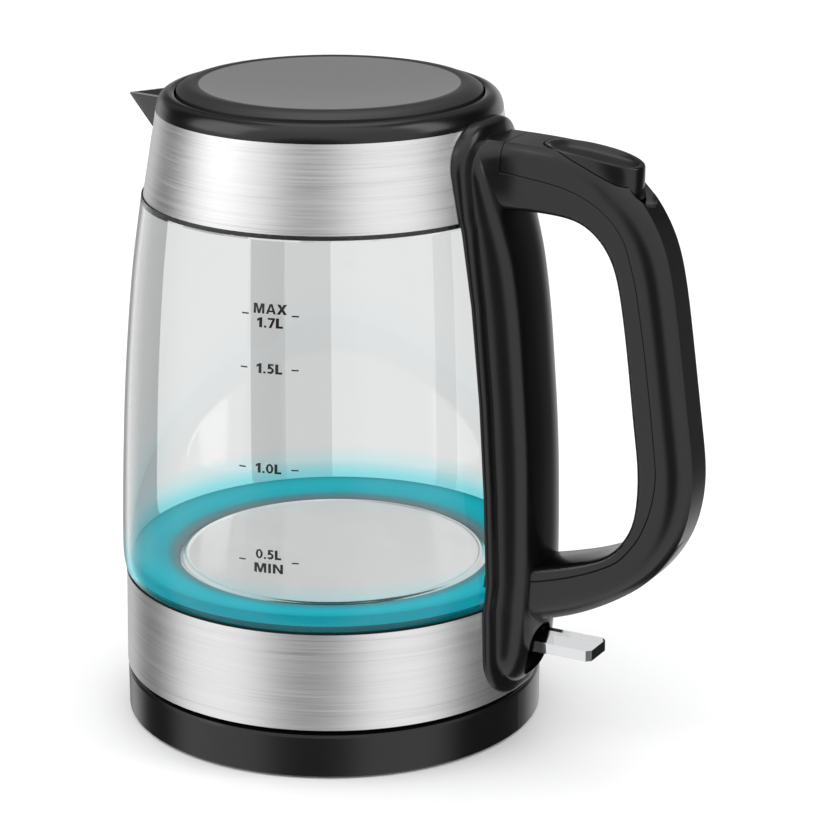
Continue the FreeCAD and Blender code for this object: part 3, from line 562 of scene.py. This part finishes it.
# ---- strip behind the handle --------------------------------------------------------------------
BODY_LINE = [(17.9, 74.2), (52.35, 73.6), (53.1, 73.9), (62, 74.7), (94, 73.7), (126, 71.9), (159, 68.9),
             (185.2, 65.2), (187.3, 64.3), (216.5, 59.3), (221.9, 56.8)]
SPINE_BACK = [(17, 79.5), (26, 81), (40, 82.8), (62, 84.5), (88, 84.6), (110, 84), (132, 82.5), (154, 80.6),
              (172, 78.0), (184, 74.8), (193, 71.8), (201, 68.9), (208, 66.6), (214, 65.2), (220.5, 63.8)]
SPINE_HALF_W = 21.3
SPINE_Z = (18.4, 218.5)
SPINE_CORNER = 16.0
CORNER_SHRINK = 0.75
FLANGE_T = [(17, 1.6), (140, 1.6), (165, 1.8), (182, 2.2), (196, 2.9), (206, 3.7), (213, 4.5), (220, 4.8)]
FLANGE_W = 4.1
FLANGE_SLOPE = 0.11
BULGE_TURN = 3
BULGE_POWER = 0.45


def spine_ring(inset):
    """(y, z) points round the strip's outline, inset from its edge."""
    half = max(SPINE_HALF_W - inset, 0.02)
    low, high = SPINE_Z[0] + inset, SPINE_Z[1] - inset
    corner = max(SPINE_CORNER - inset * CORNER_SHRINK, 0.01)
    corner = min(corner, half)
    flat = half - corner
    ring = []
    arc_steps = 14
    side_steps = 70
    for y_sign, z_mid, start in ((1, high - corner, 0.0), (-1, high - corner, 90.0),
                                 (-1, low + corner, 180.0), (1, low + corner, 270.0)):
        for k in range(arc_steps + 1):
            turn = math.radians(start + 90.0 * k / arc_steps)
            ring.append((y_sign * flat + corner * math.cos(turn), z_mid + corner * math.sin(turn)))
        if start in (90.0, 270.0):
            going_down = start == 90.0
            z_from, z_to = (high - corner, low + corner) if going_down else (low + corner, high - corner)
            side = -half if going_down else half
            for k in range(1, side_steps):
                ring.append((side, z_from + (z_to - z_from) * k / side_steps))
    return ring


def spine_point(y, z, inset, lift):
    """A point on the strip's surface; lift is 0 on the jug's wall and 1 on the strip's outer face."""
    radius = value_at(BODY_LINE, z)
    root = math.sqrt(radius ** 2 - y ** 2)
    flange = root + (value_at(FLANGE_T, z) + FLANGE_SLOPE * min(inset, FLANGE_W)) * lift
    along = max(inset - FLANGE_W, 0.0) / (SPINE_HALF_W - FLANGE_W)
    bulge = (1 - (1 - min(along, 1.0)) ** BULGE_TURN) ** BULGE_POWER if along > 0 else 0.0
    back = SPINE_CURVE(z)
    return (flange + max(back - flange, 0.0) * bulge * lift, y, z)


def curve_reader(points):
    """A function that reads a smooth curve through the points."""
    dense = [tuple(p) for p in smooth_line(points, 8)]
    return lambda key: value_at(dense, key)


SPINE_CURVE = curve_reader(SPINE_BACK)
BACK_INSETS = (21.28, 16.0, 10.0, 4.0, 0.6)
EDGE_STEPS = ((0.0, 0.05), (0.0, 0.48), (0.1, 0.66), (0.35, 0.82), (0.8, 0.94), (1.4, 0.99))
FACE_INSETS = (2.2, 3.6, 4.1, 4.16, 4.3, 4.6, 5.1, 5.8, 6.8, 8.2, 10.0, 12.4, 15.0, 17.6, 19.6, 20.9, 21.28)
BACK_LIFT = 0.02
SLOT_X = (60.0, 100.0)
SLOT_MIDDLE_Z = 33.4
SLOT_HALF_Z = 9.4
SLOT_HALF_Y = 8.4


def make_spine():
    """Thin flange with a rounded, raised body down its middle and a tall oval slot for the lever."""
    rings = []
    back = [(inset, BACK_LIFT) for inset in BACK_INSETS]
    face = [(inset, 1.0) for inset in FACE_INSETS]
    for inset, lift in back + list(EDGE_STEPS) + face:
        rings.append([spine_point(y, z, inset, lift) for y, z in spine_ring(inset)])
    spine = loft("spine_strip", rings, crease=50.0)
    slot = [(y * SLOT_HALF_Y, SLOT_MIDDLE_Z + z * SLOT_HALF_Z) for y, z in unit_oval(48, 0.75)]
    cutter = loft("slot_cutter", [[(x, y, z) for y, z in slot] for x in SLOT_X])
    cut_away(spine, cutter, crease=40.0)
    settle(spine, "kettle", "black_plastic", "spine_cover")


# ---- handle -------------------------------------------------------------------------------------
# Each section's outer and inner point, from the upper arm's foot to the lower arm's, as (x, z).
HANDLE_SECTIONS = [((62, 213.6), (62, 190.5)), ((71, 213.5), (71, 190.6)), ((80, 213.2), (80, 190.9)),
                   ((92, 212.3), (92.5, 190.4)), ((104, 210), (99.5, 188.7)),
                   ((113.5, 203.8), (104.5, 185.4)), ((121, 196), (108, 181.5)),
                   ((127.5, 184.5), (111, 176)), ((131.2, 170), (113.5, 167)), ((134.5, 148), (116.6, 147)),
                   ((137.8, 124), (119.4, 123)), ((140, 107), (121.4, 108)), ((138.9, 93.5), (121, 94)),
                   ((134.9, 81.3), (118.6, 85)), ((126, 68.6), (112.5, 76.8)), ((114.7, 60), (104.2, 72.8)),
                   ((103, 53.4), (95.5, 70)), ((91.9, 49), (87, 67.7)), ((79, 45.4), (77.5, 65.6)),
                   ((66, 43.9), (66, 63.6))]
HANDLE_SEAM = [(69.5, 204), (80, 202.6), (90, 201.4), (98, 199.3), (105, 196), (111, 191.4), (115.5, 185.5),
               (119.7, 171.5), (123.4, 150.3), (126.6, 126.5), (128.9, 106), (127, 94.5), (122.9, 84),
               (115.7, 74.8), (106.7, 69.8), (97.3, 66), (88.2, 63.2), (77.9, 60.8), (66, 59)]
SEAM_SHARES = (0.2, 0.9)
SEAM_USUAL_SHARE = 0.55
SEAM_SMOOTHING = 6
HANDLE_HALF_W = 10.8
SEAM_CHAMFER = 0.28
COVER_START_X = 69.8
COVER_INSET = 0.3
UPPER_ARM_Z = 155.0
UPPER_ARM_END_X = 112.0
UPPER_ARM_BLEND = 22.0
ROOT_FLARE = 6.5
LOWER_FLARE_SHARE = 0.8
FLARE_X = (62.0, 79.0)
FLARE_SHAPE = [(0.0, 0.25), (0.3, 0.85), (0.55, 1.0), (0.8, 0.7), (1.0, 0.1)]
STEPS_PER_SECTION = 7
RELAX_PASSES = 12

# The side is flat up to FLAT_TO of the depth and narrows to BACK_HALF_W; the upper arm adds to both.
FLAT_TO = 0.52
FLAT_TO_UPPER_ARM = 0.26
BACK_HALF_W = 5.6
BACK_HALF_W_UPPER_ARM = 3.0

# Finger edge: share of depth and half-width lost. Rounding: share of its run and of its narrowing.
FINGER_EDGE = ((0.0, 2.6), (0.02, 1.25), (0.05, 0.45), (0.09, 0.08), (0.13, 0.0))
BACK_ROUNDING = ((0.0, 0.0), (0.2, 0.012), (0.4, 0.08), (0.58, 0.23), (0.74, 0.44), (0.87, 0.69),
                 (1.0, 1.0))


def handle_stations():
    """Outer and inner points of many sections along the handle, as (x, z) vectors."""
    outer = relaxed(smooth_line([a for a, b in HANDLE_SECTIONS], STEPS_PER_SECTION), RELAX_PASSES)
    inner = relaxed(smooth_line([b for a, b in HANDLE_SECTIONS], STEPS_PER_SECTION), RELAX_PASSES)
    return list(zip(outer, inner))


def seam_share(outer, inner):
    """How far from the inner to the outer point the seam crosses a section."""
    across = outer - inner
    normal = Vector((-across.y, across.x))
    seam = [Vector(p) for p in HANDLE_SEAM]
    best = None
    for p, q in zip(seam, seam[1:]):
        d0, d1 = (p - inner).dot(normal), (q - inner).dot(normal)
        if d0 * d1 <= 0 and d0 != d1:
            hit = p + (q - p) * (d0 / (d0 - d1))
            share = (hit - inner).dot(across) / across.length_squared
            inside = SEAM_SHARES[0] < share < SEAM_SHARES[1]
            if inside and (best is None or abs(share - SEAM_USUAL_SHARE) < abs(best - SEAM_USUAL_SHARE)):
                best = share
    return best


def filled(values):
    """Gaps in a list take the nearest value, and the list is then smoothed."""
    known = [i for i, v in enumerate(values) if v is not None]
    values = [values[min(known, key=lambda k: abs(k - i))] for i in range(len(values))]
    for _ in range(SEAM_SMOOTHING):
        inner = [(values[i - 1] + 2 * values[i] + values[i + 1]) / 4 for i in range(1, len(values) - 1)]
        values = [values[0]] + inner + [values[-1]]
    return values


def side_profile(arm):
    """(share of depth, half-width) from the finger side to the back; arm is 1 on the upper arm."""
    flat_to = FLAT_TO + FLAT_TO_UPPER_ARM * arm
    facet = BACK_HALF_W + BACK_HALF_W_UPPER_ARM * arm
    profile = [(share, HANDLE_HALF_W - drop) for share, drop in FINGER_EDGE]
    for along, drop in BACK_ROUNDING:
        profile.append((flat_to + (1 - flat_to) * along, HANDLE_HALF_W - (HANDLE_HALF_W - facet) * drop))
    return profile


def handle_ring(outer, inner, start, end, arm, chamfer_start, chamfer_end):
    """One closed ring of the handle between two shares of its depth."""
    profile = side_profile(arm)
    depth = (outer - inner).length
    cut = SEAM_CHAMFER / depth
    count = 22
    shares = [start + (end - start) * (0.5 - 0.5 * math.cos(math.pi * k / count)) for k in range(count + 1)]
    side = [(share, value_at(profile, share)) for share in shares]
    if chamfer_start:
        side = [(start, side[0][1] - SEAM_CHAMFER)] + [(max(s, start + cut), w) for s, w in side[1:]]
    if chamfer_end:
        side = [(min(s, end - cut), w) for s, w in side[:-1]] + [(end, side[-1][1] - SEAM_CHAMFER)]
    reach = max(0.0, 1.0 - ((outer.x + inner.x) / 2 - FLARE_X[0]) / (FLARE_X[1] - FLARE_X[0]))
    flare = ROOT_FLARE * reach ** 2.0 * (1.0 if arm > 0 else LOWER_FLARE_SHARE)
    side = [(share, half + flare * value_at(FLARE_SHAPE, share)) for share, half in side]
    ring = []
    for share, half in side + [(share, -half) for share, half in reversed(side)]:
        spot = inner + (outer - inner) * share
        ring.append((spot.x, half, spot.y))
    return ring


BUTTON_MID_X = 99.6
BUTTON_HALF_L = 17.4
BUTTON_HALF_W = 9.3
BUTTON_SQUARENESS = 0.85


def oval(grow, scale=1.0, steps=64):
    """(x, y) points round the button's long oval."""
    half_l = (BUTTON_HALF_L + grow) * scale
    half_w = (BUTTON_HALF_W + grow) * scale
    return [(BUTTON_MID_X + half_l * u, half_w * v) for u, v in unit_oval(steps, BUTTON_SQUARENESS)]


WELL_FLOOR = [(79, 208), (84, 204.5), (90, 204), (98, 201.6), (104, 198.2), (110, 195.0), (121, 192.4)]
WELL_GAP = 0.42
WELL_TOP_Z = 230.0


def make_well_cutter():
    """The shape of the button's well: the button's oval with a gap all round."""
    floor_ring = [(x, y, value_at(WELL_FLOOR, x)) for x, y in oval(WELL_GAP)]
    top_ring = [(x, y, WELL_TOP_Z) for x, y in oval(WELL_GAP)]
    return loft("well_cutter", [floor_ring, top_ring])


SCOOP_CENTRE = Vector((119.6, 0.0, 204.6))
SCOOP_R = (8.4, 7.8, 9.6)
SCOOP_ROWS = 16
SCOOP_STEPS = 32


def make_scoop_cutter():
    """An egg-shaped cutter for the hollow behind the button."""
    rings = []
    for i in range(1, SCOOP_ROWS):
        tilt = math.pi * i / SCOOP_ROWS
        ring = []
        for k in range(SCOOP_STEPS):
            turn = 2 * math.pi * k / SCOOP_STEPS
            ring.append((SCOOP_CENTRE.x + SCOOP_R[0] * math.sin(tilt) * math.cos(turn),
                         SCOOP_CENTRE.y + SCOOP_R[1] * math.sin(tilt) * math.sin(turn),
                         SCOOP_CENTRE.z + SCOOP_R[2] * math.cos(tilt)))
        rings.append(ring)
    return loft("scoop_cutter", rings)


def upper_arm_share(point):
    """1 on the upper arm, fading to 0 round its corner; 0 on the rest of the handle."""
    if point.y <= UPPER_ARM_Z:
        return 0.0
    return max(0.0, min(1.0, (UPPER_ARM_END_X - point.x) / UPPER_ARM_BLEND))


def make_handle():
    """The upper arm's root, and the finger side and outer side, which meet at a fine groove."""
    stations = handle_stations()
    seams = filled([seam_share(a, b) for a, b in stations])
    arms = [upper_arm_share(a) for a, b in stations]
    first = next(i for i, (a, b) in enumerate(stations) if (a.x + b.x) / 2 > COVER_START_X)

    root = []
    for (a, b), arm in zip(stations[:first + 1], arms):
        root.append(handle_ring(a, b, 0.0, 1.0, arm, False, False))
    inner = []
    outer = []
    for i in range(first, len(stations)):
        a, b = stations[i]
        inner.append(handle_ring(a, b, 0.0, seams[i], arms[i], False, True))
        outer.append(handle_ring(a, b, seams[i], 1.0, arms[i], True, False))
    nudge = Vector((COVER_INSET, 0.0, 0.0))
    outer[0] = [tuple(Vector(p) + nudge) for p in outer[0]]
    root_piece = loft("handle_root", root)
    settle(root_piece, "kettle", "black_plastic")
    inner_piece = loft("handle_inner", inner)
    outer_piece = loft("handle_outer", outer)
    for make_cutter in (make_well_cutter, make_scoop_cutter):
        cut_away(outer_piece, make_cutter())
    cut_away(inner_piece, make_well_cutter())
    settle(inner_piece, "kettle", "black_plastic", "handle_frame")
    settle(outer_piece, "kettle", "black_plastic", "handle_cover")


LIP_LINE = [(80.4, 213.35), (86, 213.1), (92, 212.6), (99, 211.75), (106, 210.65), (113, 209.2),
            (118.4, 207.7)]
UNDER_LINE = [(80.4, 209.6), (90, 209.0), (98, 207.9), (104, 207.35), (110.5, 207.3), (118.4, 206.6)]
SKIRT_LINE = [(80.4, 209.4), (90, 208.2), (98, 205.4), (104, 202.4), (110, 199.4), (118.4, 196.9)]
BUTTON_RINGS = ((1.0, -0.55), (0.992, -0.2), (0.972, -0.03), (0.945, 0.0), (0.918, -0.06), (0.89, -0.3),
                (0.85, -0.85), (0.79, -1.5), (0.70, -2.05), (0.58, -2.45), (0.42, -2.7), (0.22, -2.85),
                (0.04, -2.9))
UNDER_SCALE = 0.84
SKIRT_SCALES = (0.86, 0.99)
SKIRT_CORNER = 0.2
DISH_DROP = -0.6
DISH_SHARE = 0.95


def make_button():
    """Long oval button with a narrow raised lip round its thumb dish."""
    lip = curve_reader(LIP_LINE)
    rings = [[(x, y, value_at(UNDER_LINE, x)) for x, y in oval(0.0, UNDER_SCALE)]]
    for scale in SKIRT_SCALES:
        rings.append([(x, y, value_at(SKIRT_LINE, x)) for x, y in oval(0.0, scale)])
    rings.append([(x, y, value_at(SKIRT_LINE, x) + SKIRT_CORNER) for x, y in oval(0.0)])
    for scale, drop in BUTTON_RINGS:
        share = 1.0 if drop > DISH_DROP else DISH_SHARE
        rings.append([(x, y, lip(x) + drop * share) for x, y in oval(0.0, scale)])
    button = loft("thumb_button", rings, crease=60.0)
    settle(button, "button", "black_plastic", "release_button")


# ---- studio -------------------------------------------------------------------------------------
FORWARD = Vector((CAMERA_LOOK.x, CAMERA_LOOK.y, 0.0)).normalized()
RIGHTWARD = Vector((FORWARD.y, -FORWARD.x, 0.0))

# The wall behind the kettle: grey panels by bearing, in degrees to the right of straight behind.
PANELS = [(-30.0, 1.0), (-24.0, 0.50), (-8.3, 1.0), (-3.8, 0.70), (-3.0, 0.80), (-1.66, 1.0), (1.09, 0.87),
          (1.7, 1.0)]
PANEL_SPAN = 30.0
FLOOR_HALF = 8.0


def add_floor():
    """A pale floor that catches the kettle's soft shadow and stays out of its glass and mirrors."""
    mesh = bpy.data.meshes.new("floor")
    corners = [(x * FLOOR_HALF, y * FLOOR_HALF, 0) for x, y in ((-1, -1), (1, -1), (1, 1), (-1, 1))]
    mesh.from_pydata(corners, [], [(0, 1, 2, 3)])
    floor = bpy.data.objects.new("floor", mesh)
    bpy.context.scene.collection.objects.link(floor)
    s = Shader("floor_paper", Roughness=0.9)
    s.shader.inputs["Specular IOR Level"].default_value = 0.1
    tone = [(0.3, (0.90, 0.90, 0.90)), (0.7, (0.92, 0.92, 0.92))]
    s.feed(s.colours(s.noise((3, 3, 3)), tone), "Base Color")
    mesh.materials.append(s.material)
    floor.visible_transmission = False
    floor.visible_glossy = False
    floor.visible_shadow = False


def add_softbox(name, bearing, rise, distance, size, power, target=(0, 0, 0.12)):
    """bearing: degrees to the right of straight behind the kettle; rise: degrees above level."""
    turn = math.radians(bearing)
    level = FORWARD * math.cos(turn) + RIGHTWARD * math.sin(turn)
    lift = math.radians(rise)
    place = Vector(target) + (level * math.cos(lift) + Vector((0, 0, math.sin(lift)))) * distance
    data = bpy.data.lights.new(name, "AREA")
    data.shape = "RECTANGLE"
    data.size, data.size_y = size
    data.energy = power
    light = bpy.data.objects.new(name, data)
    light.location = place
    light.rotation_euler = (Vector(target) - place).to_track_quat("-Z", "Y").to_euler()
    bpy.context.scene.collection.objects.link(light)


# Strength of the surroundings: as the camera sees them, as diffuse light, and then by region.
SEEN_WHITE = 1.0
AMBIENT = 1.1
WALL = 0.80
DARK_SIDE = 0.06
HIGH_WALL_SHARE = 0.22
FRONT = 1.0
FRONT_GAP = 0.14
CEILING = 0.35

# Where the regions blend: degrees off straight behind, which for the front is turned to the right by
# LEAN, and the sine of the rise.
FLANK_TURN = (34.0, 56.0)
FRONT_TURN = (84.0, 112.0)
LEAN = 14.0
HIGH_WALL_RISE = (0.06, 0.26)
CEILING_RISE = (0.45, 0.95)

# A dark gap in the room in front, a little to the left and below level.
GAP = (-FORWARD * 0.98 - RIGHTWARD * 0.20 - Vector((0.0, 0.0, 0.18))).normalized()
GAP_EDGE = (0.82, 0.98)


class World:
    """The studio's surroundings as a shader: short calls for its nodes."""

    def __init__(self):
        world = bpy.data.worlds.new("studio")
        world.use_nodes = True
        bpy.context.scene.world = world
        self.tree = world.node_tree
        self.background = self.tree.nodes["Background"]
        self.background.inputs["Color"].default_value = (1.0, 1.0, 1.0, 1.0)
        self.rays = self.tree.nodes.new("ShaderNodeLightPath")
        self.direction = self.tree.nodes.new("ShaderNodeTexCoord").outputs["Generated"]

    def put(self, value, socket):
        if isinstance(value, (int, float)):
            socket.default_value = value
        else:
            self.tree.links.new(value, socket)

    def math(self, operation, a, b=0.0):
        node = self.tree.nodes.new("ShaderNodeMath")
        node.operation = operation
        self.put(a, node.inputs[0])
        self.put(b, node.inputs[1])
        return node.outputs[0]

    def along(self, axis):
        node = self.tree.nodes.new("ShaderNodeVectorMath")
        node.operation = "DOT_PRODUCT"
        self.tree.links.new(self.direction, node.inputs[0])
        node.inputs[1].default_value = axis
        return node.outputs["Value"]

    def mix(self, factor, a, b):
        node = self.tree.nodes.new("ShaderNodeMix")
        self.put(factor, node.inputs["Factor"])
        self.put(a, node.inputs["A"])
        self.put(b, node.inputs["B"])
        return node.outputs["Result"]

    def step(self, value, start, end, low, high):
        node = self.tree.nodes.new("ShaderNodeMapRange")
        node.interpolation_type = "SMOOTHSTEP"
        self.put(value, node.inputs["Value"])
        for socket, number in (("From Min", start), ("From Max", end), ("To Min", low), ("To Max", high)):
            node.inputs[socket].default_value = number
        return node.outputs["Result"]


def panel_pattern(world, bearing):
    """The tone of the wall's panels at a bearing."""
    node = world.tree.nodes.new("ShaderNodeValToRGB")
    node.color_ramp.interpolation = "CONSTANT"
    elements = node.color_ramp.elements
    while len(elements) < len(PANELS):
        elements.new(0.5)
    for element, (degrees, tone) in zip(elements, PANELS):
        element.position = (degrees + PANEL_SPAN) / (2 * PANEL_SPAN)
        element.color = (tone, tone, tone, 1.0)
    share = world.math("DIVIDE", world.math("ADD", bearing, PANEL_SPAN), 2 * PANEL_SPAN)
    world.put(share, node.inputs["Fac"])
    return node.outputs["Color"]


def add_world():
    """A panelled wall behind, dark flanks, and a pale room in front with a dark gap in it.

    Rays through the glass see only the panelled wall. Reflections see the rest, with the wall dimmed
    higher up. The camera sees plain white.
    """
    world = World()
    behind = world.along(FORWARD)
    rightward = world.along(RIGHTWARD)
    bearing = world.math("MULTIPLY", world.math("ARCTAN2", rightward, behind), 180.0 / math.pi)
    off_back = world.math("ABSOLUTE", bearing)
    off_lean = world.math("ABSOLUTE", world.math("SUBTRACT", bearing, LEAN))
    rise = world.along((0, 0, 1))
    pattern = panel_pattern(world, bearing)
    wall = world.math("MULTIPLY", pattern, WALL)
    glossy_wall = world.math("MULTIPLY", pattern, world.step(off_back, *FLANK_TURN, WALL, DARK_SIDE))
    dimmed = world.step(rise, *HIGH_WALL_RISE, 1.0, HIGH_WALL_SHARE)
    glossy_wall = world.math("MULTIPLY", glossy_wall, dimmed)
    front = world.math("MULTIPLY", world.step(off_lean, *FRONT_TURN, 0.0, 1.0),
                       world.step(world.along(GAP), *GAP_EDGE, FRONT, FRONT_GAP))
    high = world.step(rise, *CEILING_RISE, 0.0, CEILING)
    around = world.math("ADD", world.math("MAXIMUM", glossy_wall, front), high)
    seen = world.mix(world.rays.outputs["Is Transmission Ray"], around, wall)
    seen = world.mix(world.rays.outputs["Is Diffuse Ray"], seen, AMBIENT)
    seen = world.mix(world.rays.outputs["Is Camera Ray"], seen, SEEN_WHITE)
    world.put(seen, world.background.inputs["Strength"])


def add_studio():
    add_world()
    add_floor()
    add_softbox("left_softbox", -100.0, 30.0, 1.5, (1.1, 1.2), 6.0)
    add_softbox("right_softbox", 105.0, 35.0, 1.5, (0.5, 1.2), 5.0)
    add_softbox("top_softbox", 0.0, 75.0, 1.5, (0.9, 0.9), 2.4)
    bpy.context.scene.view_settings.view_transform = "Standard"


add_camera()
dress_cad_nodes()
make_glass()
make_upper_seal()
make_heating_plate()
make_level_marks()
make_spine()
make_handle()
make_button()
add_studio()
